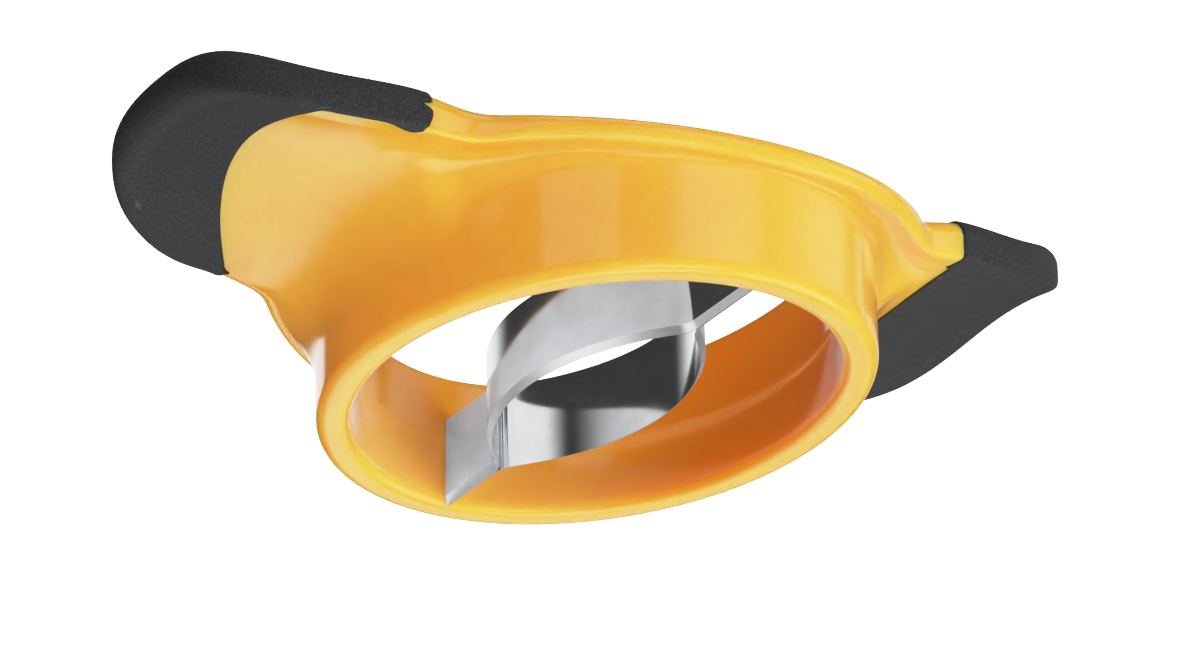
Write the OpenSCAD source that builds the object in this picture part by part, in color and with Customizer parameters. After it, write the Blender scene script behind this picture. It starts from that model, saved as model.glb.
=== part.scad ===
// Mango slicer: an oval ring with two raised paddle handles, a soft grip over the end of
// each handle, and a pair of steel strips that part round the stone in the middle.
// X runs from handle to handle, Y along the strips, and the cutting rim lies on Z = 0.

/* [Ring] */
// Clear width of the ring, from handle side to handle side
ring_in_x = 77.6; // [72:0.2:84]
// Clear length of the ring, along the strips
ring_in_y = 100; // [92:0.5:108]
// Wall of the ring at its two handle sides
wall_side = 6.1; // [4.5:0.1:7]
// Wall of the ring at the two ends that hold the strips
wall_end = 7; // [6:0.1:8]
// Height of the ring's top in the middle of its length
ring_h = 24.5; // [21:0.1:30]
// How much the clear opening narrows from the rim to the top, each side
ring_draft = 0.9; // [0:0.1:1.5]
// Rounding of the cutting rim's two edges
lip_r = 1.7; // [0.8:0.1:2]
// Rounding of the upper inner edge
brow_r = 1.6; // [0.8:0.1:2]

/* [Flange] */
// Length of the oval flange along X, before the handles grow out of it
flange_l = 113; // [104:0.5:118]
// Width of the oval flange along Y
flange_w = 121; // [119:0.2:126]
// Thickness of the flange
flange_t = 4.2; // [3:0.1:5]

/* [Handles] */
// Length of the slicer over both grips
overall_l = 173; // [164:0.5:184]
// Width of a handle, without its grip
handle_w = 75.6; // [68:0.2:80]
// Thickness of a handle, without its grip
handle_t = 8; // [6.5:0.1:9]
// How far the tips rise above the middle of the flange
handle_rise = 18; // [8:0.5:22]
// Curve of the rise: 1 is a straight slope, more starts level and steepens
rise_curve = 2.1; // [1.4:0.05:2.6]
// How far the sides of a handle's end droop below its middle
handle_arch = 8.5; // [0:0.5:10]
// Squareness of a handle's end: 2 is an ellipse, more is boxier
tip_square = 3.35; // [2.6:0.05:4.5]
// Squareness of a handle's lower side edge: 2 is a full round, more is crisper
edge_square = 5; // [2:0.1:6]
// Sharpness of the inside corner between flange and handle
neck_sharp = 34; // [16:1:44]
// Largest fillet under a handle, where it meets the ring
haunch_r = 13; // [8:0.5:16]

/* [Grips] */
// Thickness of a grip where it is let into its handle
grip_t = 1.9; // [1.4:0.1:2.2]
// How far a grip stands proud of the handle
grip_proud = 0.5; // [0.2:0.1:0.8]
// Distance from the middle of the slicer to the ends of a grip's sides
grip_from = 53.5; // [51:0.5:58]
// Distance from the middle to a grip's edge on the upper face
grip_top_from = 61; // [58:0.5:66]
// Length of the bare tongue under the left handle, past the ends of the sides
tongue_left = 19.5; // [0:0.5:21]
// Length of the bare tongue under the right handle
tongue_right = 0; // [0:0.5:21]
// Gap of the bond line between a grip and its handle
grip_fit = 0.05; // [0.03:0.01:0.1]

/* [Strips] */
// Thickness of a strip
strip_t = 1; // [0.8:0.1:1.2]
// Height of a strip
strip_h = 15.7; // [12:0.1:17]
// Height of the cutting edges above the rim
strip_lift = 0.3; // [0.2:0.1:1]
// Clear width between the strips, for the stone
stone_gap = 26.6; // [22:0.2:30]
// Radius of the bow round the stone, on its inner face
bow_r = 45; // [40:0.5:50]
// Radius of the bends from the bow into the wings
bend_r = 5; // [3:0.5:9]
// Height of the ground bevel
bevel_h = 1.3; // [0.8:0.1:2]
// Width left at the cutting edge
edge_w = 0.15; // [0.1:0.05:0.3]
// Depth of the wings' seats in the ring
seat_depth = 4; // [3:0.1:4.4]
// Gap round a wing in its seat
seat_fit = 0.05; // [0.03:0.01:0.1]

/* [Hidden] */

frame_colour = "#f0ac3a";
grip_colour = "#333335";
steel_colour = "#c9ccd0";

half_l = overall_l / 2 - grip_proud;    // middle to the bare tip of a handle
half_w = handle_w / 2;
in_half = [ring_in_x / 2, ring_in_y / 2];
out_half = in_half + [wall_side, wall_end];
swell_to = 54;                          // a handle has its full thickness from here out
swell_run = 24;                         // length over which the flange thickens
haunch_share = 0.7;                     // part of the overhang that a fillet may fill
grip_land = 0.6;                        // least level strip between a grip's edge and the roll
arch_from = 50;                         // the droop of a handle's sides starts here
arch_run = 30;                          // and is complete after this length
crisp_from = 34;                        // the lower side edge starts to turn crisp here
crisp_run = 14;                         // and has done so after this length
fade_from = 72;                         // it turns round again here, towards the tip
fade_run = 12;                          // over this length
tongue_lean = -14;                      // direction of the tongue's longest reach, in degrees
tongue_corner = 8;                      // degrees from there to the start of its near corner
tongue_turn = 10;                       // degrees over which that corner turns back to the root
tongue_far = 46.5;                      // degrees to the root on the far side
tongue_round = 1;                       // fullness of the far side's curve
probe = 0.05;                           // half step for the outline's direction, in degrees
cut_run = 1;                            // how far cuts run past a face

// Counts of steps round the outline, over each stretch of the section and along half a strip
grip_steps = 30;
flange_steps = 30;
top_steps = 3;
roll_steps = 8;
under_steps = 4;
belly_steps = 6;
arc_steps = 2;
bow_steps = 24;
bend_steps = 8;
belly_ease = 1.7;                       // crowding of the underside's steps towards the ring
face_split = 0.85;                      // where a face with no grip edge is divided
split_angle = 0.3;                      // angle between the sections on either side of a grip's end
split_gap = 0.12;                       // least step between points where nothing is let in

function lerp(a, b, t) = a + (b - a) * t;
function smooth(t) = let (u = min(1, max(0, t))) u * u * (3 - 2 * u);
function polar(r, a, z = 0) = [r * cos(a), r * sin(a), z];

// Outline in plan: an oval and a squared paddle, blended where they meet
function oval_r(a, half) = 1 / norm([cos(a) / half.x, sin(a) / half.y]);
function paddle_r(a) =
    pow(pow(abs(cos(a)) / half_l, tip_square) + pow(abs(sin(a)) / half_w, tip_square), -1 / tip_square);
function edge_r(a) =
    pow(pow(oval_r(a, [flange_l, flange_w] / 2), neck_sharp) + pow(paddle_r(a), neck_sharp), 1 / neck_sharp);
function edge_at(a) = edge_r(a) * [cos(a), sin(a)];
function edge_out(a) = let (t = edge_at(a + probe) - edge_at(a - probe)) [t.y, -t.x] / norm(t);

// Thickness and height of the flange and handles over a point in plan
function half_t(p) = lerp(flange_t, handle_t, smooth((abs(p.x) - swell_to + swell_run) / swell_run)) / 2;
function droop(p) = handle_arch * smooth((abs(p.x) - arch_from) / arch_run) * pow(p.y / half_w, 2);
function mid_z(p) = ring_h - flange_t / 2 + handle_rise * pow(abs(p.x) / half_l, rise_curve) - droop(p);
function top_z(p) = mid_z(p) + half_t(p);
function haunch_drop(s, r) = s >= r ? 0 : r - sqrt(max(0, r * r - (r - s) * (r - s)));

// Power that shapes the lower half of the roll: 1 is round, less is squarer
function lower_power(p) =
    let (crisp = smooth((abs(p.x) - crisp_from) / crisp_run) - smooth((abs(p.x) - fade_from) / fade_run))
    lerp(1, 2 / edge_square, crisp);
function signed_pow(v, power) = sign(v) * pow(abs(v), power);

// Edge of a grip on the under face, as a distance along a spoke
function tongue(a, reach) =
    let (past = a - tongue_lean,
         near = 1 - smooth((-past - tongue_corner) / tongue_turn),
         far = pow(cos(90 * min(1, abs(past) / tongue_far)), tongue_round))
    grip_from / cos(a) + reach * (past < 0 ? near : far);

// One spoke: the roll's outward direction, radius and centre, the spoke's direction, and the
// distances along it. A gripped spoke divides at the grip's edges, another part-way along a face.
function spoke(a, gripped) =
    let (out = edge_out(a),
         roll = half_t(edge_at(a)),
         centre = edge_at(a) - roll * out,
         dir = atan2(centre.y, centre.x),
         roll_at = norm(centre),
         wall_at = oval_r(dir, out_half),
         bore_at = oval_r(dir, in_half),
         tilt = atan2(centre.y, abs(centre.x)),
         reach = centre.x < 0 ? tongue_left : tongue_right,
         limit = roll_at - grip_land,
         top_at = gripped ? min(grip_top_from, limit) : lerp(bore_at + brow_r, roll_at, face_split),
         under_at = gripped ? min(tongue(tilt, reach), limit) : lerp(wall_at, roll_at, face_split))
    [out, roll, centre, dir, roll_at, wall_at, bore_at, top_at, under_at];

// Places of those values in a spoke
OUT = 0;
ROLL = 1;
CENTRE = 2;
DIR = 3;
ROLL_AT = 4;
WALL_AT = 5;
BORE_AT = 6;
TOP_AT = 7;
UNDER_AT = 8;

// Share of the way in along the underside, with the steps closer together on the haunch
function belly_share(k) = 1 - pow(1 - k / belly_steps, belly_ease);

// Height of the underside on a spoke, with the haunch that fillets it into the ring
function belly_z(s, r) =
    let (p = polar(r, s[DIR]), overhang = s[ROLL_AT] - s[WALL_AT])
    mid_z(p) - half_t(p) - haunch_drop(r - s[WALL_AT], min(haunch_r, haunch_share * overhang));

// Points over a handle's end, from the upper edge of the grip round the roll to its lower
// edge, set out from the bare handle by the given distance and back from both edges
function wrap(s, set_out, back) =
    concat(
        [for (k = [0:top_steps]) let (p = polar(lerp(s[TOP_AT] + back, s[ROLL_AT], k / top_steps), s[DIR]))
            [p.x, p.y, top_z(p) + set_out]],
        [for (k = [1:roll_steps])
            let (t = 90 - 180 * k / roll_steps,
                 power = t < 0 ? lower_power(s[CENTRE]) : 1,
                 p = s[CENTRE] + (s[ROLL] + set_out) * signed_pow(cos(t), power) * s[OUT])
            [p.x, p.y, mid_z(s[CENTRE]) + (half_t(s[CENTRE]) + set_out) * signed_pow(sin(t), power)]],
        [for (k = [1:under_steps]) let (r = lerp(s[ROLL_AT], s[UNDER_AT] + back, k / under_steps))
            polar(r, s[DIR], belly_z(s, r) - set_out)]);

// Whole section of the frame on one spoke, from the rim up the bore, out and back to the rim
function section(a, gripped) =
    let (s = spoke(a, gripped), gap = gripped ? 0 : split_gap,
         brow_at = s[BORE_AT] - ring_draft,
         brow_z = top_z(polar(brow_at, s[DIR])) - brow_r)
    concat(
        [polar(s[BORE_AT] + lip_r, s[DIR], -cut_run)],
        [for (k = [0:arc_steps]) let (t = 270 - 90 * k / arc_steps)
            polar(s[BORE_AT] + lip_r * (1 + cos(t)), s[DIR], lip_r * (1 + sin(t)))],
        [for (k = [0:arc_steps]) let (t = 180 - 90 * k / arc_steps)
            polar(brow_at + brow_r * (1 + cos(t)), s[DIR], brow_z + brow_r * sin(t))],
        [for (k = [1:top_steps])
            let (p = polar(lerp(brow_at + brow_r, s[TOP_AT] - gap, k / top_steps), s[DIR]))
            [p.x, p.y, top_z(p)]],
        wrap(s, gripped ? -grip_t : 0, gap),
        [for (k = [0:belly_steps]) let (r = lerp(s[UNDER_AT] - gap / 2, s[WALL_AT], belly_share(k)))
            polar(r, s[DIR], belly_z(s, r))],
        [for (k = [0:arc_steps]) let (t = -90 * k / arc_steps)
            polar(s[WALL_AT] - lip_r * (1 - cos(t)), s[DIR], lip_r * (1 + sin(t)))],
        [polar(s[WALL_AT] - lip_r, s[DIR], -cut_run)]);

// Angle from the X axis at which a grip's sides end
grip_angle = atan2(half_w * pow(1 - pow(grip_from / half_l, tip_square), 1 / tip_square), grip_from);
grip_angles = [for (k = [0:grip_steps]) lerp(-grip_angle, grip_angle, k / grip_steps)];
flange_from = grip_angle + split_angle;
flange_angles = [for (k = [0:flange_steps]) lerp(flange_from, 180 - flange_from, k / flange_steps)];

// Faces between neighbouring rows of points, each row a closed loop
function skin_faces(rows, n, closed) =
    [for (i = [0:rows - (closed ? 1 : 2)], j = [0:n - 1])
        let (row = i * n, next = (i + 1) % rows * n, k = (j + 1) % n)
        each [[row + j, next + k, row + k], [row + j, next + j, next + k]]];

// Caps for rows that run out along a skin and back along its inner side
function cap_faces(rows, n) =
    [for (k = [0:n / 2 - 2])
        let (u = n - 1 - k, end = (rows - 1) * n)
        each [[k, u - 1, u], [k, k + 1, u - 1],
              [end + k, end + u, end + u - 1], [end + k, end + u - 1, end + k + 1]]];

function flip(list) = [for (k = [len(list) - 1:-1:0]) list[k]];
function join(rows) = [for (row = rows) each row];

module frame_shell() {
    rows = concat([for (a = grip_angles) section(a, true)],
                  [for (a = flange_angles) section(a, false)],
                  [for (a = grip_angles) section(a + 180, true)],
                  [for (a = flange_angles) section(a + 180, false)]);
    polyhedron(join(rows), skin_faces(len(rows), len(rows[OUT]), true), convexity = 10);
}

// Solid between rows that run out along one side and back along the other
module skin(rows) {
    n = len(rows[OUT]);
    polyhedron(join(rows), concat(skin_faces(len(rows), n, false), cap_faces(len(rows), n)), convexity = 10);
}

module grip(turn) {
    skin([for (a = grip_angles) let (s = spoke(a + turn, true))
        concat(wrap(s, grip_proud, grip_fit), flip(wrap(s, grip_fit - grip_t, grip_fit)))]);
}

// Section of a strip, down its outer face with the ground bevel and back up its inner face
strip_section = [[strip_t, strip_h], [strip_t, bevel_h], [edge_w, 0], [0, 0], [0, bevel_h], [0, strip_h]];

// Plan of a strip on the +X side: a bow round the stone, a bend each end, then straight wings
bow_centre = stone_gap / 2 - bow_r;
bend_x = strip_t + bend_r;
bend_y = sqrt(pow(bow_r + bend_x, 2) - pow(bend_x - bow_centre, 2));
bow_angle = atan2(bend_y, bend_x - bow_centre);
wing_end = in_half.y + seat_depth;

// Stations along half of a strip's inner face, each with the direction of the outer face
half_path = concat(
    [for (k = [0:bow_steps]) let (t = bow_angle * k / bow_steps)
        [bow_centre + bow_r * cos(t), bow_r * sin(t), t]],
    [for (k = [1:bend_steps]) let (t = bow_angle * (1 - k / bend_steps))
        [bend_x * (1 - cos(t)), bend_y - bend_x * sin(t), t]],
    [[0, wing_end, 0]]);
other_half = [for (k = [len(half_path) - 1:-1:1]) let (p = half_path[k]) [p.x, -p.y, -p.z]];
strip_path = concat(other_half, half_path);

module strip() {
    rows = [for (p = strip_path) [for (q = strip_section) polar(q.x, p.z, strip_lift + q.y) + [p.x, p.y, 0]]];
    color(steel_colour) skin(rows);
}

module frame() {
    seat_w = 2 * (strip_t + seat_fit);
    seat_h = strip_h + 2 * seat_fit;
    seat_end = 2 * (wing_end + seat_fit);
    color(frame_colour)
        difference() {
            frame_shell();
            translate([-out_half.x, -out_half.y, -2 * cut_run])
                cube([2 * out_half.x, 2 * out_half.y, 2 * cut_run]);
            translate([-seat_w / 2, -seat_end / 2, strip_lift - seat_fit])
                cube([seat_w, seat_end, seat_h]);
        }
}

module left_grip() {
    color(grip_colour) grip(180);
}

module right_grip() {
    color(grip_colour) grip(0);
}

module left_strip() {
    mirror([1, 0, 0]) strip();
}

module right_strip() {
    strip();
}

frame();
left_grip();
right_grip();
left_strip();
right_strip();
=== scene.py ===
import math

import bpy
import numpy as np
from mathutils import Matrix, Vector


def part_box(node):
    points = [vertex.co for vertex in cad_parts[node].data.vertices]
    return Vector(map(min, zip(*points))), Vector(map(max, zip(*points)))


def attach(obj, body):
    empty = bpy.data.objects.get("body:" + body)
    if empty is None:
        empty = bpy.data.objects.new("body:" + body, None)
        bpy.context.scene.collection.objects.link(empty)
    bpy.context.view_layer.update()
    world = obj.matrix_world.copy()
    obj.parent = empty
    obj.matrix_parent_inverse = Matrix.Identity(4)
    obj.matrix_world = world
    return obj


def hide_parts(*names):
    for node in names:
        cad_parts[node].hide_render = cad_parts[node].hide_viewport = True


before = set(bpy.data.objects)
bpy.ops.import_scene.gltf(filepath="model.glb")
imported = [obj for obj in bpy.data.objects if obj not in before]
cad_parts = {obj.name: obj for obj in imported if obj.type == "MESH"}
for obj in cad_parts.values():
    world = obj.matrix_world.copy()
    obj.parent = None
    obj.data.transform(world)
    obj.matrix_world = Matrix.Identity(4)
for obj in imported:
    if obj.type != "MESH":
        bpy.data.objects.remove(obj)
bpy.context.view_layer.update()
mm = 0.001  # sizes below are in millimetres and angles in degrees, unless a note says otherwise
print("frame loaded:", ", ".join(sorted(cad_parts)))

ring = {
    "clear": (77.6, 100.0),  # opening from handle to handle and along the strips
    "wall": (6.1, 7.0),
    "height": 24.5,
    "draft": 0.9,
    "lip": 2.4,  # rounding of the cutting rim
    "brow": 1.6,  # rounding of the upper inner edge
    "flange": (113.0, 121.0),
    "flangeThick": 4.2,
    "haunch": 13.0,  # largest fillet under a handle
    "haunchShare": (0.7, 2.4),  # fillet to overhang, on the near and on the far side
    "haunchBlend": 3.0,
    "haunchEase": 14.0,  # angle over which it passes the corner between flange and handle
    "partLine": 12.2,  # height of the faint step where the mould halves met
    "partStep": 0.05,
    "tuck": 0.02,  # bare sections step this far in at their two ends
    "recessGap": 0.0006,  # turn between a recess's end wall and the bare plastic beside it, in radians
    "turnSteps": 170,  # sections between the two grips
    "roundSteps": 10,  # points round each rounding of a section
    "boreSteps": (6, 8),  # below and above the parting step
    "topSteps": 15,
    "bellySteps": (14, 30),  # close ones inside a grip's end, then wider ones to the wall
    "closeStep": 0.3,
    "closeShare": 0.5,  # of a narrow flange that the close ones may take up
    "wallSteps": 9,
}
grip = {
    "thick": 1.9,
    "proud": 0.5,
    "fit": 0.05,
    "land": 0.6,
    "sideFrom": 53.5,
    "leftFarFrom": 55.9,  # the left grip's ends on the far and near side
    "leftNearFrom": 52.0,
    "topFrom": 61.0,
    "edgeRound": 0.4,
    "tongue": {"left": 19.3, "right": 0.0},  # how far the bare plastic runs in under each handle
    "lean": -14.0,
    "corner": 8.0,
    "turn": 10.0,
    "farSpan": 46.5,
    "farRound": 1.0,
    "bareCorner": 2.6,  # on the left near side the plastic shows up to the crisp lower edge
    "lobe": 3.3,  # rounding of that grip's end
    "notch": 1.2,  # where the two halves of its mould met
    "notchAt": 9.0,
    "notchWide": 8.0,
    "notchFade": 3.0,
    "blend": 1.0,  # eases its edges into the land beside the roll
    "turnSteps": 120,
    "rollSteps": 49,
    "flatSteps": 13,
}
handle = {
    "halfLength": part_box("right_grip")[1].x / mm - grip["proud"],
    "halfWidth": 37.8,
    "thick": 8.0,
    "swell": (30.0, 24.0),  # where the thickening starts, and its length
    "farSwell": (40.0, 16.0),
    "farBlend": (-20.0, 40.0),  # from near to far side
    "rise": 18.0,
    "riseCurve": 2.1,
    "arch": 8.5,
    "archRun": (50.0, 30.0),
    "tipSquare": 3.35,
    "neckSharp": 34.0,
    "edgeSquare": 9.0,  # crispness of the lower side edge, 2 is round
    "crisp": (34.0, 14.0),
    "farCrisp": 0.45,  # share of it on the far side, and where it starts there
    "farFrom": (56.0, 12.0),
    "fade": (75.0, 8.0),
}
crease = 35.0  # edges of the mouldings stay crisp from this angle on


# Shape of the moulding, as arrays over the angle round the middle

def smooth(t):
    u = np.clip(t, 0, 1)
    return u * u * (3 - 2 * u)


def ramp(x, span):
    return smooth((np.abs(x) - span[0]) / span[1])


def steps(start, end, share):
    return start + (end - start) * share


def evenly(count):
    return np.linspace(0, 1, count)[None, :]


def softMin(a, b, blend):
    h = np.clip(0.5 + 0.5 * (b - a) / blend, 0, 1)
    return b + (a - b) * h - blend * h * (1 - h)


def roundedDrop(away, radius):
    short = np.clip(radius - away, 0, radius)
    return radius - np.sqrt(radius ** 2 - short ** 2)


def ovalRadius(a, half):
    return 1 / np.hypot(np.cos(a) / half[0], np.sin(a) / half[1])


def edgeRadius(a):
    square, sharp = handle["tipSquare"], handle["neckSharp"]
    along = np.abs(np.cos(a)) / handle["halfLength"]
    across = np.abs(np.sin(a)) / handle["halfWidth"]
    paddle = (along ** square + across ** square) ** (-1 / square)
    oval = ovalRadius(a, np.array(ring["flange"]) / 2)
    return (oval ** sharp + paddle ** sharp) ** (1 / sharp)


def easedEdge(a, taps=9):
    shift = np.linspace(-1, 1, taps)
    weight = 1 + np.cos(math.pi * shift)
    shifted = [edgeRadius(a + math.radians(ring["haunchEase"]) * x) for x in shift]
    return sum(w * r for w, r in zip(weight / weight.sum(), shifted))


def edgePoint(a):
    r = edgeRadius(a)
    return np.stack([r * np.cos(a), r * np.sin(a)], -1)


def edgeOut(a, probe=0.001):
    t = edgePoint(a + probe) - edgePoint(a - probe)
    out = np.stack([t[..., 1], -t[..., 0]], -1)
    return out / np.linalg.norm(out, axis=-1, keepdims=True)


def farShare(y):
    return smooth((y - handle["farBlend"][0]) / handle["farBlend"][1])


def halfThick(x, y):
    swell = steps(ramp(x, handle["swell"]), ramp(x, handle["farSwell"]), farShare(y))
    return steps(ring["flangeThick"], handle["thick"], swell) / 2


def midHeight(x, y):
    climb = handle["rise"] * (np.abs(x) / handle["halfLength"]) ** handle["riseCurve"]
    droop = handle["arch"] * ramp(x, handle["archRun"]) * (y / handle["halfWidth"]) ** 2
    return ring["height"] - ring["flangeThick"] / 2 + climb - droop


def spokesAt(a):
    out, edge = edgeOut(a), edgePoint(a)
    roll = halfThick(edge[..., 0], edge[..., 1])  # radius of the rolled edge
    centre = edge - roll[..., None] * out
    turn = np.arctan2(centre[..., 1], centre[..., 0])
    clear = np.array(ring["clear"]) / 2
    return {
        "roll": roll, "turn": turn, "rollAt": np.hypot(centre[..., 0], centre[..., 1]),
        "outX": out[..., 0], "outY": out[..., 1], "centreX": centre[..., 0], "centreY": centre[..., 1],
        "wallAt": ovalRadius(turn, clear + ring["wall"]), "boreAt": ovalRadius(turn, clear),
        "haunchTo": easedEdge(a) - roll,
    }


def onSpoke(s, r, z):
    return np.stack(np.broadcast_arrays(r * np.cos(s["turn"]), r * np.sin(s["turn"]), z), -1)


def topHeight(s, r):
    x, y = r * np.cos(s["turn"]), r * np.sin(s["turn"])
    return midHeight(x, y) + halfThick(x, y)


def bellyHeight(s, r):
    x, y = r * np.cos(s["turn"]), r * np.sin(s["turn"])
    overhang = s["rollAt"] - s["wallAt"]
    spread = steps(*ring["haunchShare"], farShare(y)) * (s["haunchTo"] - s["wallAt"])
    fillet = softMin(np.full_like(spread, ring["haunch"]), spread, ring["haunchBlend"])
    away = r - s["wallAt"]
    drop = roundedDrop(away, fillet) - roundedDrop(overhang, fillet) * np.clip(away / overhang, 0, 1)
    return midHeight(x, y) - halfThick(x, y) - drop


# A way over the edge: 0 where the roll meets the underside, more going in under it,
# less going up round the roll and then in over the top

def overEdge(a, way, lift):
    s = spokesAt(a)
    rollWay = math.pi * s["roll"]
    t = np.clip(-way / rollWay, 0, 1) * math.pi - math.pi / 2
    crisp = ramp(s["centreX"], handle["crisp"]) - ramp(s["centreX"], handle["fade"])
    far = handle["farCrisp"] * ramp(s["centreX"], handle["farFrom"])
    crisp = crisp * steps(1, far, farShare(s["centreY"]))
    square = np.where(t < 0, 2 + (handle["edgeSquare"] - 2) * crisp, 2.0)
    swing = (np.abs(np.cos(t)) ** square + np.abs(np.sin(t)) ** square) ** (-1 / square)
    reach = (s["roll"] + lift) * swing * np.cos(t)
    rise = (halfThick(s["centreX"], s["centreY"]) + lift) * swing * np.sin(t)
    rollZ = midHeight(s["centreX"], s["centreY"]) + rise
    rollX, rollY = s["centreX"] + reach * s["outX"], s["centreY"] + reach * s["outY"]
    rolled = np.stack([rollX, rollY, rollZ], -1)
    r = s["rollAt"] - np.maximum(way, 0) - np.maximum(-rollWay - way, 0)
    z = np.where(way > 0, bellyHeight(s, r) - lift, topHeight(s, r) + lift)
    onRoll = (way <= 0) & (way >= -rollWay)
    return np.where(onRoll[..., None], rolled, onSpoke(s, r, z))


def angleAt(x):
    square = handle["tipSquare"]
    y = handle["halfWidth"] * (1 - (x / handle["halfLength"]) ** square) ** (1 / square)
    return math.atan2(y, x)


gripEnd = angleAt(grip["sideFrom"])
leftFarEnd, leftNearEnd = angleAt(grip["leftFarFrom"]), angleAt(grip["leftNearFrom"])


def tongueEdge(tilt, reach):
    past = np.degrees(tilt) - grip["lean"]
    near = 1 - smooth((-past - grip["corner"]) / grip["turn"])
    share = np.minimum(1, np.abs(past) / grip["farSpan"])
    far = np.cos(np.pi / 2 * share) ** grip["farRound"]
    return grip["sideFrom"] / np.cos(tilt) + reach * np.where(past < 0, near, far)


def endGap(a):
    tilt = np.arcsin(np.clip(np.sin(a), -1, 1))
    end = np.where(np.cos(a) < 0, np.where(tilt > 0, leftFarEnd, leftNearEnd), gripEnd)
    return (end - np.abs(tilt)) * edgeRadius(a)


def gripSpan(a):
    s = spokesAt(a)
    tilt = np.arctan2(s["centreY"], np.abs(s["centreX"]))
    left = s["centreX"] < 0
    lobed = left & (tilt < 0)  # the end nearest the camera on the left
    topFrom = softMin(np.full_like(a, grip["topFrom"]), s["rollAt"] - grip["land"], grip["blend"])
    reach = np.where(left, grip["tongue"]["left"], grip["tongue"]["right"])
    least = np.where(lobed, -grip["bareCorner"], grip["land"])
    under = -softMin(tongueEdge(tilt, reach) - s["rollAt"], -least, grip["blend"])
    under = under - np.where(lobed, roundedDrop(endGap(a), grip["lobe"]), 0)
    return topFrom - s["rollAt"] - math.pi * s["roll"], under


def endNotch(a, way):
    s = spokesAt(a)
    t = 180 * np.clip(-way / (math.pi * s["roll"]), 0, 1) - 90
    here = np.exp(-((t - grip["notchAt"]) / grip["notchWide"]) ** 2)
    beside = np.exp(-(endGap(a) / grip["notchFade"]) ** 2)
    lobed = (s["centreX"] < 0) & (s["centreY"] < 0)
    return a - np.where(lobed, grip["notch"] * here * beside / edgeRadius(a), 0)


edgeTaps = np.array([0, 0.03, 0.08, 0.15, 0.25, 0.38, 0.5])  # close steps beside a rounded edge


def skinWays(a, top, under):
    rollWay = math.pi * spokesAt(a)["roll"]
    last = edgeTaps[-1]
    rollEnd = np.minimum(0, under - last - grip["land"])
    flat, rolled = evenly(grip["flatSteps"])[:, 1:], evenly(grip["rollSteps"])[:, 1:]
    return np.concatenate([
        top + edgeTaps[None, :], steps(top + last, -rollWay, flat), steps(-rollWay, rollEnd, rolled),
        steps(rollEnd, under - last, flat), under - edgeTaps[None, -2::-1]], 1)


def skin(a, top, under, lift):
    ways = skinWays(a, top, under)
    return overEdge(endNotch(np.broadcast_to(a, ways.shape), ways), ways, lift)


def ringSection(a, top, under, depth):
    s = spokesAt(a)
    lip, brow = ring["lip"], ring["brow"]
    quarter = np.linspace(0, 90, ring["roundSteps"])[None, :] * math.pi / 180
    browAt = s["boreAt"] - ring["draft"]
    browZ = topHeight(s, browAt) - brow
    lipIn = onSpoke(s, s["boreAt"] + lip * (1 - np.sin(quarter)), lip * (1 - np.cos(quarter)))
    line, step = ring["partLine"], ring["partStep"]
    belowSteps, aboveSteps = ring["boreSteps"]
    below = steps(lip, line - step, evenly(belowSteps)[:, 1:]) + 0 * browZ
    above = steps(line + step, browZ, evenly(aboveSteps)[:, :-1])
    boreZ = np.concatenate([below, above], 1)
    drafted = s["boreAt"] - ring["draft"] * (boreZ - lip) / (browZ - lip)
    bore = onSpoke(s, drafted + np.where(boreZ < line, step, 0), boreZ)
    browIn = onSpoke(s, browAt + brow * (1 - np.cos(quarter)), browZ + brow * np.sin(quarter))
    topEnd = s["rollAt"] + math.pi * s["roll"] + top
    topR = steps(browAt + brow, topEnd, evenly(ring["topSteps"])[:, 1:])
    over = onSpoke(s, topR, topHeight(s, topR))
    tuck = ring["tuck"] if depth == 0 else 0.0
    wrapped = skin(a, top + tuck, under - tuck, -depth)
    inward = s["rollAt"] - s["wallAt"]
    closeCount, restCount = ring["bellySteps"]
    closeStep = np.minimum(ring["closeStep"], ring["closeShare"] * (inward - under) / (closeCount - 1))
    close = under + np.arange(closeCount)[None, :] * closeStep
    rest = steps(inward, close[:, -1:], np.linspace(1, 0, restCount)[None, 1:] ** 2)
    bellyWays = np.concatenate([close, rest], 1)
    belly = overEdge(np.broadcast_to(a, bellyWays.shape), bellyWays, np.zeros_like(bellyWays))
    wallZ = bellyHeight(s, s["wallAt"])
    wall = onSpoke(s, s["wallAt"], steps(wallZ, lip, evenly(ring["wallSteps"])[:, 1:]))
    turned = quarter[:, 1:]
    lipOut = onSpoke(s, s["wallAt"] - lip * (1 - np.cos(turned)), lip * (1 - np.sin(turned)))
    rimR = steps(s["wallAt"] - lip, s["boreAt"] + lip, np.array([[1 / 3, 2 / 3]]))
    rim = onSpoke(s, rimR, np.zeros_like(rimR))
    return np.concatenate([lipIn, bore, browIn, over, wrapped, belly, wall, lipOut, rim], 1)


def gripAngles(turn, inset):
    taps = (edgeTaps + inset) / edgeRadius(np.array(gripEnd))
    first, last = (leftFarEnd, leftNearEnd) if turn else (gripEnd, gripEnd)
    inner = np.linspace(-first + taps[-1], last - taps[-1], grip["turnSteps"])[1:-1]
    return turn + np.concatenate([-first + taps, inner, last - taps[::-1]])


def gridFaces(rows, cols, closed):
    i = np.arange(rows if closed else rows - 1)[:, None]
    j = np.arange(cols)[None, :]
    here, ahead, beside = i * cols, (i + 1) % rows * cols, (j + 1) % cols
    corners = [here + j, ahead + j, ahead + beside, here + beside]
    return np.stack(corners, -1).reshape(-1, 4).tolist()


def endFaces(rows, cols):
    j = np.arange(cols // 2 - 1)
    last = (rows - 1) * cols
    first = np.stack([j, j + 1, cols - 2 - j, cols - 1 - j], -1)
    return first.tolist() + (last + first[:, ::-1]).tolist()


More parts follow.
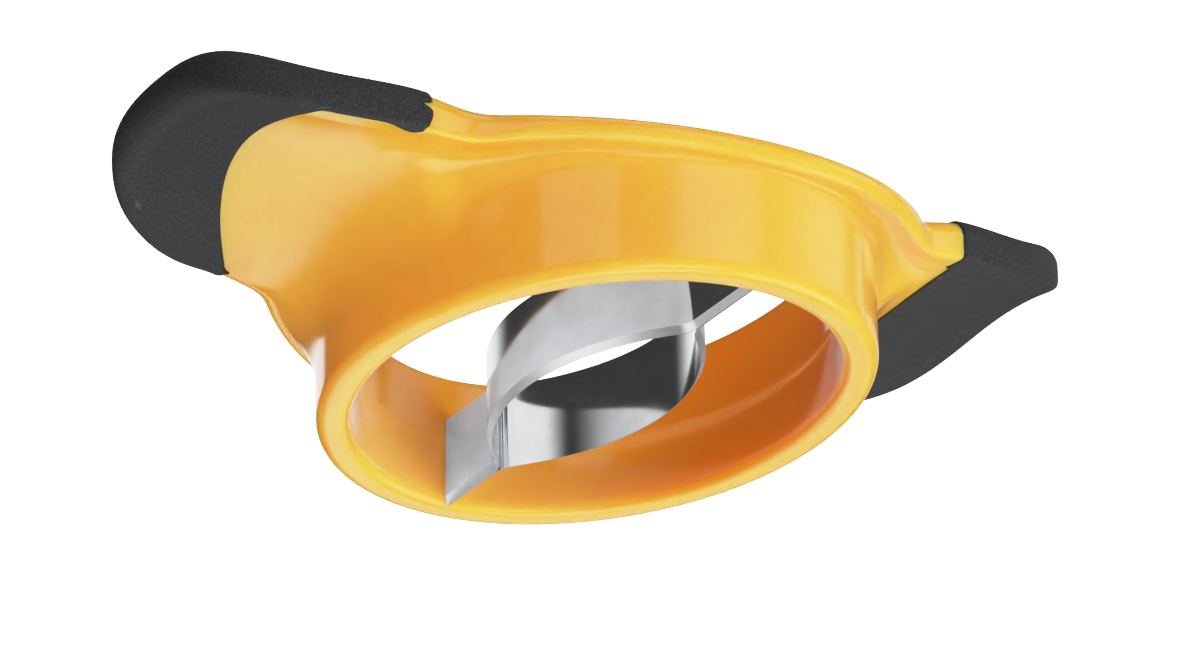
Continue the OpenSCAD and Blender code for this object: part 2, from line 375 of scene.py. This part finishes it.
def addPiece(name, points, faces, node, materials, sharp=crease):
    mesh = bpy.data.meshes.new(name)
    mesh.from_pydata((points.reshape(-1, 3) * mm).tolist(), [], faces)
    mesh.validate()
    piece = bpy.data.objects.new(name, mesh)
    bpy.context.scene.collection.objects.link(piece)
    for material in materials:
        mesh.materials.append(material)
    smoothShade(mesh, sharp)
    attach(piece, "root")
    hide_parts(node)
    return piece


def smoothShade(mesh, sharp):
    mesh.polygons.foreach_set("use_smooth", np.ones(len(mesh.polygons), bool))
    mesh.set_sharp_from_angle(angle=math.radians(sharp))
    mesh.update()


# Shader groups that several finishes share

def newGroup(name, inputs, outputs):
    group = bpy.data.node_groups.new(name, "ShaderNodeTree")
    for label, value in inputs.items():
        socket = group.interface.new_socket(label, in_out="INPUT", socket_type="NodeSocketFloat")
        socket.default_value = value
    for label in outputs:
        group.interface.new_socket(label, in_out="OUTPUT", socket_type="NodeSocketFloat")
    return group, group.nodes.new("NodeGroupInput"), group.nodes.new("NodeGroupOutput")


def addNode(tree, kind, links=(), **settings):
    node = tree.nodes.new(kind)
    for key, value in settings.items():
        setattr(node, key, value)
    for label, source in dict(links).items():
        if isinstance(source, bpy.types.NodeSocket):
            tree.links.new(source, node.inputs[label])
        else:
            node.inputs[label].default_value = source
    return node


def bothMasks(tree, first, second):
    return addNode(tree, "ShaderNodeMath", {0: first, 1: second}, operation="MULTIPLY").outputs[0]


def makeGrainGroup():
    inputs = {"Scale": 900.0, "Low": 0.35, "High": 0.7}
    group, given, result = newGroup("fineGrain", inputs, ["Mask", "Height"])
    place = addNode(group, "ShaderNodeTexCoord").outputs["Object"]
    noise = addNode(group, "ShaderNodeTexNoise",
                    {"Vector": place, "Scale": given.outputs["Scale"], "Detail": 4.0, "Roughness": 0.6})
    spread = addNode(group, "ShaderNodeMapRange",
                     {"Value": noise.outputs["Fac"], "From Min": given.outputs["Low"],
                      "From Max": given.outputs["High"]})
    group.links.new(spread.outputs["Result"], result.inputs["Mask"])
    group.links.new(noise.outputs["Fac"], result.inputs["Height"])
    return group


def makeWearGroup():
    group, given, result = newGroup("edgeWear", {"Start": 0.52, "Full": 0.6, "Break": 240.0}, ["Mask"])
    place = addNode(group, "ShaderNodeTexCoord").outputs["Object"]
    curve = addNode(group, "ShaderNodeNewGeometry").outputs["Pointiness"]
    spread = addNode(group, "ShaderNodeMapRange",
                     {"Value": curve, "From Min": given.outputs["Start"],
                      "From Max": given.outputs["Full"]})
    noise = addNode(group, "ShaderNodeTexNoise",
                    {"Vector": place, "Scale": given.outputs["Break"], "Detail": 3.0})
    broken = bothMasks(group, spread.outputs["Result"], noise.outputs["Fac"])
    group.links.new(broken, result.inputs["Mask"])
    return group


grainGroup = makeGrainGroup()
wearGroup = makeWearGroup()


def startMaterial(name):
    material = bpy.data.materials.new(name)
    material.use_nodes = True
    tree = material.node_tree
    return material, tree, tree.nodes["Principled BSDF"]


def placeGroup(tree, group, **values):
    node = addNode(tree, "ShaderNodeGroup", node_tree=group)
    for label, value in values.items():
        node.inputs[label].default_value = value
    return node


def placeGrain(tree, scale, spread):
    return placeGroup(tree, grainGroup, Scale=scale, Low=spread[0], High=spread[1])


def mixColour(tree, mask, first, second):
    mix = addNode(tree, "ShaderNodeMix", data_type="RGBA")
    tree.links.new(mask, mix.inputs["Factor"])
    for label, source in (("A", first), ("B", second)):
        socket = [x for x in mix.inputs if x.name == label and x.type == "RGBA"][0]
        if isinstance(source, bpy.types.NodeSocket):
            tree.links.new(source, socket)
        else:
            socket.default_value = (*source, 1)
    return [x for x in mix.outputs if x.type == "RGBA"][0]


def mapValue(tree, source, low, high):
    spread = addNode(tree, "ShaderNodeMapRange", {"Value": source, "To Min": low, "To Max": high})
    return spread.outputs["Result"]


def addBump(tree, shader, height, strength, depth):
    bump = addNode(tree, "ShaderNodeBump", {"Height": height, "Strength": strength, "Distance": depth})
    tree.links.new(bump.outputs["Normal"], shader.inputs["Normal"])


plasticLook = {
    "deep": (0.91, 0.405, 0.042),
    "pale": (0.95, 0.440, 0.055),
    "mottle": 55.0,
    "spread": (0.3, 0.7),  # range of the noise that fills the mask
    "gloss": (0.09, 0.13),
    "ior": 1.53,
    "glow": 0.85,
    "glowDepth": (9.0, 1.6, 0.25),
    "peel": 420.0,
    "peelBump": 0.12,
    "peelDepth": 0.02 * mm,
    "inside": (0.90, 0.285, 0.022),  # painted shade: walls facing in near the handles get a darker, redder colour, standing in for shade and for light bounced inside the ring and coming through its sides
    "insideFrom": (-0.010, -0.034),  # outward normal times place, in metres
    "sideFrom": (0.020, 0.037),  # how far from the middle towards a handle, in metres
    "mirrored": (0.88, 0.94, 0.99),  # as the bright steel shows the ring's inside, without its colour
}


def placeInside(tree, look):
    surface = addNode(tree, "ShaderNodeNewGeometry")
    both = {0: surface.outputs["Normal"], 1: surface.outputs["Position"]}
    facing = addNode(tree, "ShaderNodeVectorMath", both, operation="DOT_PRODUCT")
    place = addNode(tree, "ShaderNodeSeparateXYZ", {0: surface.outputs["Position"]})
    across = addNode(tree, "ShaderNodeMath", {0: place.outputs["X"]}, operation="ABSOLUTE")
    masks = []
    values = facing.outputs["Value"], across.outputs[0]
    for value, span in zip(values, (look["insideFrom"], look["sideFrom"])):
        ends = {"Value": value, "From Min": span[0], "From Max": span[1]}
        mask = addNode(tree, "ShaderNodeMapRange", ends, interpolation_type="SMOOTHSTEP")
        masks.append(mask.outputs["Result"])
    return masks


def makePlastic():
    look = plasticLook
    material, tree, shader = startMaterial("moulded_yellow_plastic")
    mottle = placeGrain(tree, look["mottle"], look["spread"])
    peel = placeGrain(tree, look["peel"], look["spread"])
    colour = mixColour(tree, mottle.outputs["Mask"], look["deep"], look["pale"])
    facingIn, atSide = placeInside(tree, look)
    # painted shade: the inner walls near the handles take a darker, redder colour
    colour = mixColour(tree, bothMasks(tree, facingIn, atSide), colour, look["inside"])
    glossy = addNode(tree, "ShaderNodeLightPath").outputs["Is Glossy Ray"]
    mirrored = bothMasks(tree, glossy, facingIn)
    colour = mixColour(tree, mirrored, colour, look["mirrored"])
    tree.links.new(colour, shader.inputs["Base Color"])
    tree.links.new(mapValue(tree, mottle.outputs["Mask"], *look["gloss"]), shader.inputs["Roughness"])
    addBump(tree, shader, peel.outputs["Height"], look["peelBump"], look["peelDepth"])
    tree.links.new(mapValue(tree, mirrored, look["glow"], 0.0), shader.inputs["Subsurface Weight"])
    shader.inputs["Subsurface Radius"].default_value = look["glowDepth"]
    shader.inputs["Subsurface Scale"].default_value = mm
    shader.inputs["IOR"].default_value = look["ior"]
    return material


rubberLook = {
    "base": (0.024, 0.024, 0.026),
    "dust": (0.052, 0.052, 0.055),
    "worn": (0.080, 0.080, 0.083),
    "grain": 2600.0,
    "spread": (0.45, 0.75),
    "wearFrom": (0.53, 0.62),  # where the curve of an edge starts to show wear, and shows it in full
    "wearBreak": 900.0,
    "rough": (0.62, 0.78),
    "ior": 1.45,
    "shine": 0.12,
    "grainBump": 0.5,
    "grainDepth": 0.06 * mm,
}


def makeRubber():
    look = rubberLook
    material, tree, shader = startMaterial("soft_black_rubber")
    grain = placeGrain(tree, look["grain"], look["spread"])
    start, full = look["wearFrom"]
    wear = placeGroup(tree, wearGroup, Start=start, Full=full, Break=look["wearBreak"])
    colour = mixColour(tree, grain.outputs["Mask"], look["base"], look["dust"])
    colour = mixColour(tree, wear.outputs["Mask"], colour, look["worn"])
    tree.links.new(colour, shader.inputs["Base Color"])
    tree.links.new(mapValue(tree, grain.outputs["Mask"], *look["rough"]), shader.inputs["Roughness"])
    addBump(tree, shader, grain.outputs["Height"], look["grainBump"], look["grainDepth"])
    shader.inputs["IOR"].default_value = look["ior"]
    shader.inputs["Specular IOR Level"].default_value = look["shine"]
    return material


steelLook = {
    "bright": (0.80, 0.81, 0.82),
    "dull": (0.70, 0.71, 0.72),
    "rough": (0.08, 0.12),
    "mottle": 160.0,
    "spread": (0.35, 0.65),
    "groundRough": (0.34, 0.5),
    "groundGrain": 5200.0,
    "groundSpread": (0.3, 0.7),
    "groundBump": 0.4,
    "groundDepth": 0.03 * mm,
}


def makeSteel():
    look = steelLook
    material, tree, shader = startMaterial("bright_rolled_steel")
    mottle = placeGrain(tree, look["mottle"], look["spread"])
    colour = mixColour(tree, mottle.outputs["Mask"], look["bright"], look["dull"])
    tree.links.new(colour, shader.inputs["Base Color"])
    tree.links.new(mapValue(tree, mottle.outputs["Mask"], *look["rough"]), shader.inputs["Roughness"])
    shader.inputs["Metallic"].default_value = 1.0
    return material


def makeGroundSteel():
    look = steelLook
    material, tree, shader = startMaterial("ground_steel_edge")
    grain = placeGrain(tree, look["groundGrain"], look["groundSpread"])
    colour = mixColour(tree, grain.outputs["Mask"], look["dull"], look["bright"])
    tree.links.new(colour, shader.inputs["Base Color"])
    tree.links.new(mapValue(tree, grain.outputs["Mask"], *look["groundRough"]), shader.inputs["Roughness"])
    addBump(tree, shader, grain.outputs["Height"], look["groundBump"], look["groundDepth"])
    shader.inputs["Metallic"].default_value = 1.0
    return material


plastic, rubber, steel, groundSteel = makePlastic(), makeRubber(), makeSteel(), makeGroundSteel()
print("finishes made")

strip = {
    "thick": 1.0,
    "height": 15.7,
    "lift": 0.3,
    "stoneGap": 26.6,
    "bow": 45.0,
    "bend": 5.0,
    "bevel": 1.3,
    "edge": 0.15,
    "seat": 4.0,
    "seatFit": 0.05,
    "corner": 0.12,  # rounding of the rolled upper edges
    "crease": 25.0,  # its edges stay crisp from this angle on
    "bowSteps": 90,
    "bendSteps": 30,
    "wingSteps": 12,
}


# The moulding: sections with a recess over each handle's end, plain sections between

def cutSeats(piece):
    fit = strip["seatFit"]
    low, bevel, high = (strip["lift"] + z for z in (-fit, strip["bevel"], strip["height"] + fit))
    wide, thin = strip["thick"] + fit, strip["edge"] + fit
    half = [(thin, low), (wide, bevel), (wide, high)]
    outline = half + [(-x, z) for x, z in half[::-1]]
    length = ring["clear"][1] / 2 + strip["seat"] + fit
    corners = [(x, y, z) for y in (-length, length) for x, z in outline]
    count = len(outline)
    sides = [(i, (i + 1) % count, (i + 1) % count + count, i + count) for i in range(count)]
    faces = sides + [tuple(range(count))[::-1], tuple(range(count, 2 * count))]
    cutter = bpy.data.meshes.new("seat_cutter")
    cutter.from_pydata((np.array(corners) * mm).tolist(), [], faces)
    cutterPiece = bpy.data.objects.new("seat_cutter", cutter)
    bpy.context.scene.collection.objects.link(cutterPiece)
    cut = piece.modifiers.new("seats", "BOOLEAN")
    cut.operation = "DIFFERENCE"
    cut.solver = "EXACT"
    cut.object = cutterPiece
    bpy.context.view_layer.update()
    shaped = piece.evaluated_get(bpy.context.evaluated_depsgraph_get())
    cutMesh = bpy.data.meshes.new_from_object(shaped)
    piece.modifiers.clear()
    piece.data = cutMesh
    bpy.data.objects.remove(cutterPiece)
    smoothShade(cutMesh, crease)


def makeFrame():
    gap = ring["recessGap"]
    rows = []
    ends = [gripAngles(0, 0.0), gripAngles(math.pi, 0.0), gripAngles(0, 0.0) + 2 * math.pi]
    for these, following in zip(ends, ends[1:]):
        spans = [span[:, None] for span in gripSpan(these)]
        rows.append(ringSection(these[:, None], *spans, grip["thick"]))
        ahead = [span[0] for span in gripSpan(following[:1])]
        share = np.linspace(0, 1, ring["turnSteps"])[:, None]
        between = steps(these[-1] + gap, following[0] - gap, share)
        top, under = (steps(span[-1, 0], goal, smooth(share)) for span, goal in zip(spans, ahead))
        rows.append(ringSection(between, top, under, 0.0))
    points = np.concatenate(rows, 0)
    count, cols = points.shape[:2]
    faces = gridFaces(count, cols, True)
    piece = addPiece("slicer_frame", points, faces, "frame", [plastic])
    cutSeats(piece)
    return piece


def makeGrip(name, node, turn):
    a = gripAngles(turn, grip["fit"])[:, None]
    top, under = (span[:, None] for span in gripSpan(a[:, 0]))
    top, under = top + grip["fit"], under - grip["fit"]
    ways = skinWays(a, top, under)
    away = np.minimum(np.minimum(ways - top, under - ways), endGap(a) - grip["fit"])
    outer = skin(a, top, under, grip["proud"] - roundedDrop(np.maximum(away, 0), grip["edgeRound"]))
    inner = skin(a, top, under, grip["fit"] - grip["thick"])
    points = np.concatenate([outer, inner[:, ::-1]], 1)
    count, cols = points.shape[:2]
    faces = [face[::-1] for face in gridFaces(count, cols, False) + endFaces(count, cols)]
    return addPiece(name, points, faces, node, [rubber])


def stripPath():
    bowCentre = strip["stoneGap"] / 2 - strip["bow"]
    bendX = strip["thick"] + strip["bend"]
    bendY = math.sqrt((strip["bow"] + bendX) ** 2 - (bendX - bowCentre) ** 2)
    bowAngle = math.atan2(bendY, bendX - bowCentre)
    wingEnd = ring["clear"][1] / 2 + strip["seat"]
    t = np.linspace(0, bowAngle, strip["bowSteps"])
    bow = np.stack([bowCentre + strip["bow"] * np.cos(t), strip["bow"] * np.sin(t), t], -1)
    t = np.linspace(bowAngle, 0, strip["bendSteps"])[1:]
    bend = np.stack([bendX * (1 - np.cos(t)), bendY - bendX * np.sin(t), t], -1)
    y = np.linspace(bendY, wingEnd, strip["wingSteps"])[1:]
    wing = np.stack([y * 0, y, y * 0], -1)
    half = np.concatenate([bow, bend, wing])
    return np.concatenate([half[:0:-1] * (1, -1, -1), half])


def makeStrip(name, node, side):
    thick, high, bevel, corner = (strip[size] for size in ("thick", "height", "bevel", "corner"))
    outline = np.array([  # down the outer face and back up the inner one
        (thick - corner, high), (thick, high - corner), (thick, high / 2), (thick, bevel),
        (strip["edge"], 0), (0, 0), (0, bevel), (0, high / 2), (0, high - corner), (corner, high)])
    groundSide = 3  # its side from the outer face to the edge
    path = stripPath()
    x = path[:, :1] + outline[None, :, 0] * np.cos(path[:, 2:])
    y = path[:, 1:2] + outline[None, :, 0] * np.sin(path[:, 2:])
    z = np.broadcast_to(strip["lift"] + outline[:, 1], x.shape)
    points = np.stack([side * x, y, z], -1)
    count, cols = points.shape[:2]
    faces = gridFaces(count, cols, False) + endFaces(count, cols)
    if side > 0:
        faces = [face[::-1] for face in faces]
    finishes = [steel, groundSteel]
    piece = addPiece(name, points, faces, node, finishes, strip["crease"])
    ground = np.zeros(len(piece.data.polygons), np.int32)
    ground[groundSide:(count - 1) * cols:cols] = 1
    piece.data.polygons.foreach_set("material_index", ground)
    return piece


mouldings = [
    makeFrame(),
    makeGrip("left_soft_grip", "left_grip", math.pi),
    makeGrip("right_soft_grip", "right_grip", 0.0),
]
strips = [
    makeStrip("left_steel_strip", "left_strip", -1),
    makeStrip("right_steel_strip", "right_strip", 1),
]

# Camera as fitted to the photograph: it stands below the slicer and looks up

shot = {
    "frameWidth": 1200.0,  # pixels of the photograph
    "focal": 8745.14,  # also in pixels
    "azimuth": -31.24,
    "elevation": -24.67,
    "roll": 1.17,
    "offset": (-0.75, -12.14, -1500.0),  # of the slicer's origin in the camera's axes
    "sensor": 36.0,
    "reach": 100.0,  # in metres
}


def makeCamera():
    a, e, r = (math.radians(shot[name]) for name in ("azimuth", "elevation", "roll"))
    back = np.array([math.sin(a) * math.cos(e), -math.cos(a) * math.cos(e), math.sin(e)])
    right = np.array([math.cos(a), math.sin(a), 0.0])
    up = np.cross(back, right)
    rolled = [right * math.cos(r) - up * math.sin(r), right * math.sin(r) + up * math.cos(r), back]
    axes = Matrix([list(axis) for axis in rolled]).transposed()
    place = -(np.array(rolled).T @ np.array(shot["offset"])) * mm
    lens = bpy.data.cameras.new("photo_camera")
    lens.sensor_width = shot["sensor"]
    lens.lens = shot["focal"] * shot["sensor"] / shot["frameWidth"]
    lens.clip_end = shot["reach"]
    camera = bpy.data.objects.new("photo_camera", lens)
    camera.matrix_world = Matrix.Translation(place.tolist()) @ axes.to_4x4()
    bpy.context.scene.collection.objects.link(camera)
    bpy.context.scene.camera = camera


makeCamera()

# Stage: white surround, a pale floor under the rim that only shows from above, soft lights

stage = {
    "ambient": 0.06,  # surround as the surfaces feel it
    "mirrored": 0.05,  # and as the gloss shows it
    "shown": 3.0,  # and as the camera shows it, past white
    "lightsAway": 1.25,  # in metres, as is floorSize
    "cardFade": 0.3,  # share of a card's height that fades out at its top and foot
    "floorSize": 12.0,
    "floorAt": -0.5 * mm,
    "floorColour": (0.30, 0.30, 0.30),
    "floorRough": 0.8,
    "floorGlow": 0.62,  # keeps it pale although most light comes from below
}
lights = {  # turn from the front to the right and height in degrees, wide and high in metres, radiance
    "key_front_right": (50.0, -22.0, (1.1, 0.9), 3.1),
    "fill_front": (15.0, -20.0, (0.9, 0.9), 4.0),
    "fill_front_level": (-35.0, 4.0, (0.9, 0.7), 5.0),
    "fill_below": (-80.0, -82.0, (0.9, 0.9), 5.0),
    "fill_right_low": (85.0, -48.0, (0.9, 0.9), 0.4),
    "fill_right_high": (85.0, 35.0, (0.9, 0.9), 3.0),
    "fill_back_low": (170.0, -60.0, (0.9, 0.9), 2.2),
    "fill_back_level": (195.0, 4.0, (0.9, 0.7), 2.4),
    "fill_top": (0.0, 88.0, (0.6, 0.6), 3.2),
}
cards = {  # the same for what only shows in the gloss, with the share of each end that fades out,
    # and how far off it stands if that is nearer
    "card_front": (3.0, 24.7, (1.25, 0.9), 1.5, 0.3, 0.35),
    "card_right": (64.0, 24.7, (1.30, 0.9), 1.0, 0.55, 0.3),
    "card_back_right": (118.0, 24.7, (0.9, 0.9), 0.6, 0.2, 0.2),
    "card_low_front": (-15.0, -62.0, (1.0, 0.8), 1.9, 0.3, 0.3),
    "card_below": (170.0, -76.0, (1.0, 1.0), 2.4, 0.3, 0.3),
    "card_low_back": (176.0, -36.0, (1.5, 1.1), 1.3, 0.35, 0.35),
    "card_low_right": (82.0, -48.0, (1.1, 1.2), 1.8, 0.3, 0.3),
    "card_window": (-57.0, 26.0, (0.15, 0.15), 1.0, 0.12, 0.06, 0.286),
    "card_top": (-20.0, 75.0, (0.9, 0.9), 1.2, 0.3, 0.3),
}
stripCards = {  # these only show in the steel, the second of them in its ground edges
    "card_back": (164.0, 24.7, (1.5, 0.9), 1.4, 0.1, 0.45),
    "card_edge_back": (254.0, -22.0, (1.6, 0.8), 3.2, 0.5, 0.5),
}
mouldingCards = {  # and these only in the plastic and rubber, the first as a line down the wall's left edge
    "card_back_line": (160.0, 29.0, (0.86, 0.55), 1.6, 0.1, 0.12),
    "card_under": (140.0, -23.0, (0.9, 0.6), 0.65, 0.3, 0.3),
}


def makeWorld():
    world = bpy.data.worlds.new("white_surround")
    world.use_nodes = True
    tree = world.node_tree
    felt = tree.nodes["Background"]
    felt.inputs["Strength"].default_value = stage["ambient"]
    path = addNode(tree, "ShaderNodeLightPath")
    mirrored = addNode(tree, "ShaderNodeBackground", {"Strength": stage["mirrored"]})
    shown = addNode(tree, "ShaderNodeBackground", {"Strength": stage["shown"]})
    for shader in (felt, mirrored, shown):
        shader.inputs["Color"].default_value = (1, 1, 1, 1)
    inner = addNode(tree, "ShaderNodeMixShader",
                    {0: path.outputs["Is Glossy Ray"], 1: felt.outputs[0], 2: mirrored.outputs[0]})
    outer = addNode(tree, "ShaderNodeMixShader",
                    {0: path.outputs["Is Camera Ray"], 1: inner.outputs[0], 2: shown.outputs[0]})
    tree.links.new(outer.outputs[0], tree.nodes["World Output"].inputs["Surface"])
    bpy.context.scene.world = world


def makeFloor():
    half = stage["floorSize"] / 2
    mesh = bpy.data.meshes.new("floor")
    corners = [(-half, -half), (half, -half), (half, half), (-half, half)]
    mesh.from_pydata([(x, y, stage["floorAt"]) for x, y in corners], [], [(0, 1, 2, 3)])
    floor = bpy.data.objects.new("floor", mesh)
    bpy.context.scene.collection.objects.link(floor)
    material, tree, shader = startMaterial("pale_floor")
    shader.inputs["Base Color"].default_value = (*stage["floorColour"], 1)
    shader.inputs["Roughness"].default_value = stage["floorRough"]
    shader.inputs["Emission Color"].default_value = (1, 1, 1, 1)
    shader.inputs["Emission Strength"].default_value = stage["floorGlow"]
    clear = addNode(tree, "ShaderNodeBsdfTransparent")
    direct = addNode(tree, "ShaderNodeLightPath").outputs["Is Camera Ray"]
    under = addNode(tree, "ShaderNodeNewGeometry").outputs["Backfacing"]
    above = addNode(tree, "ShaderNodeMath", {0: direct, 1: under}, operation="SUBTRACT", use_clamp=True)
    shaders = {0: above.outputs[0], 1: clear.outputs[0], 2: shader.outputs[0]}
    mix = addNode(tree, "ShaderNodeMixShader", shaders)
    tree.links.new(mix.outputs[0], tree.nodes["Material Output"].inputs["Surface"])
    mesh.materials.append(material)


def makeLight(name, turn, height, size, radiance, away=stage["lightsAway"]):
    turn, height = math.radians(turn), math.radians(height)
    way = (math.sin(turn) * math.cos(height), -math.cos(turn) * math.cos(height), math.sin(height))
    lamp = bpy.data.lights.new(name, "AREA")
    lamp.shape = "RECTANGLE"
    lamp.size, lamp.size_y = size
    lamp.energy = radiance * math.pi * size[0] * size[1]
    light = bpy.data.objects.new(name, lamp)
    light.location = Vector(way) * away
    light.rotation_euler = (-light.location).to_track_quat("-Z", "Y").to_euler()
    light.visible_camera = light.visible_glossy = False
    bpy.context.scene.collection.objects.link(light)
    return light


def makeCard(name, turn, height, size, radiance, fadeLeft, fadeRight, away=stage["lightsAway"]):
    card = makeLight(name, turn, height, size, radiance, away)
    card.visible_glossy, card.visible_diffuse = True, False
    card.data.use_nodes = True
    tree = card.data.node_tree
    place = addNode(tree, "ShaderNodeNewGeometry").outputs["Parametric"]
    place = addNode(tree, "ShaderNodeSeparateXYZ", {0: place})
    soft = stage["cardFade"]
    shown = 1.0
    sides = (("X", 0, fadeLeft), ("X", 1, 1 - fadeRight), ("Y", 0, soft), ("Y", 1, 1 - soft))
    for axis, edge, inner in sides:
        span = {"Value": place.outputs[axis], "From Min": edge, "From Max": inner}
        fade = addNode(tree, "ShaderNodeMapRange", span, interpolation_type="SMOOTHSTEP")
        shown = bothMasks(tree, shown, fade.outputs["Result"])
    tree.links.new(shown, tree.nodes["Emission"].inputs["Strength"])
    return card


def showOnlyIn(card, pieces):
    shownIn = bpy.data.collections.new("seen_in_" + card.name)
    for piece in pieces:
        shownIn.objects.link(piece)
    card.light_linking.receiver_collection = shownIn


tone = {  # scene light to shown light: straight to about the middle, then eased into white
    "most": 2.6,
    "points": ((0.0, 0.0), (0.3, 0.3), (0.5, 0.5), (0.7, 0.68), (0.9, 0.77), (1.2, 0.85), (1.6, 0.925),
               (2.6, 1.0)),
}


def setTone():
    view = bpy.context.scene.view_settings
    view.view_transform = "Standard"
    view.use_curve_mapping = True
    mapping = view.curve_mapping
    mapping.white_level = (tone["most"],) * 3
    curve = mapping.curves[3]  # the one for all colours together
    for x, y in tone["points"][1:-1]:
        curve.points.new(x / tone["most"], y)
    mapping.update()


makeWorld()
makeFloor()
for name, settings in lights.items():
    makeLight(name, *settings)
for name, settings in cards.items():
    makeCard(name, *settings)
for name, settings in stripCards.items():
    showOnlyIn(makeCard(name, *settings), strips)
for name, settings in mouldingCards.items():
    showOnlyIn(makeCard(name, *settings), mouldings)
setTone()
print("stage set")
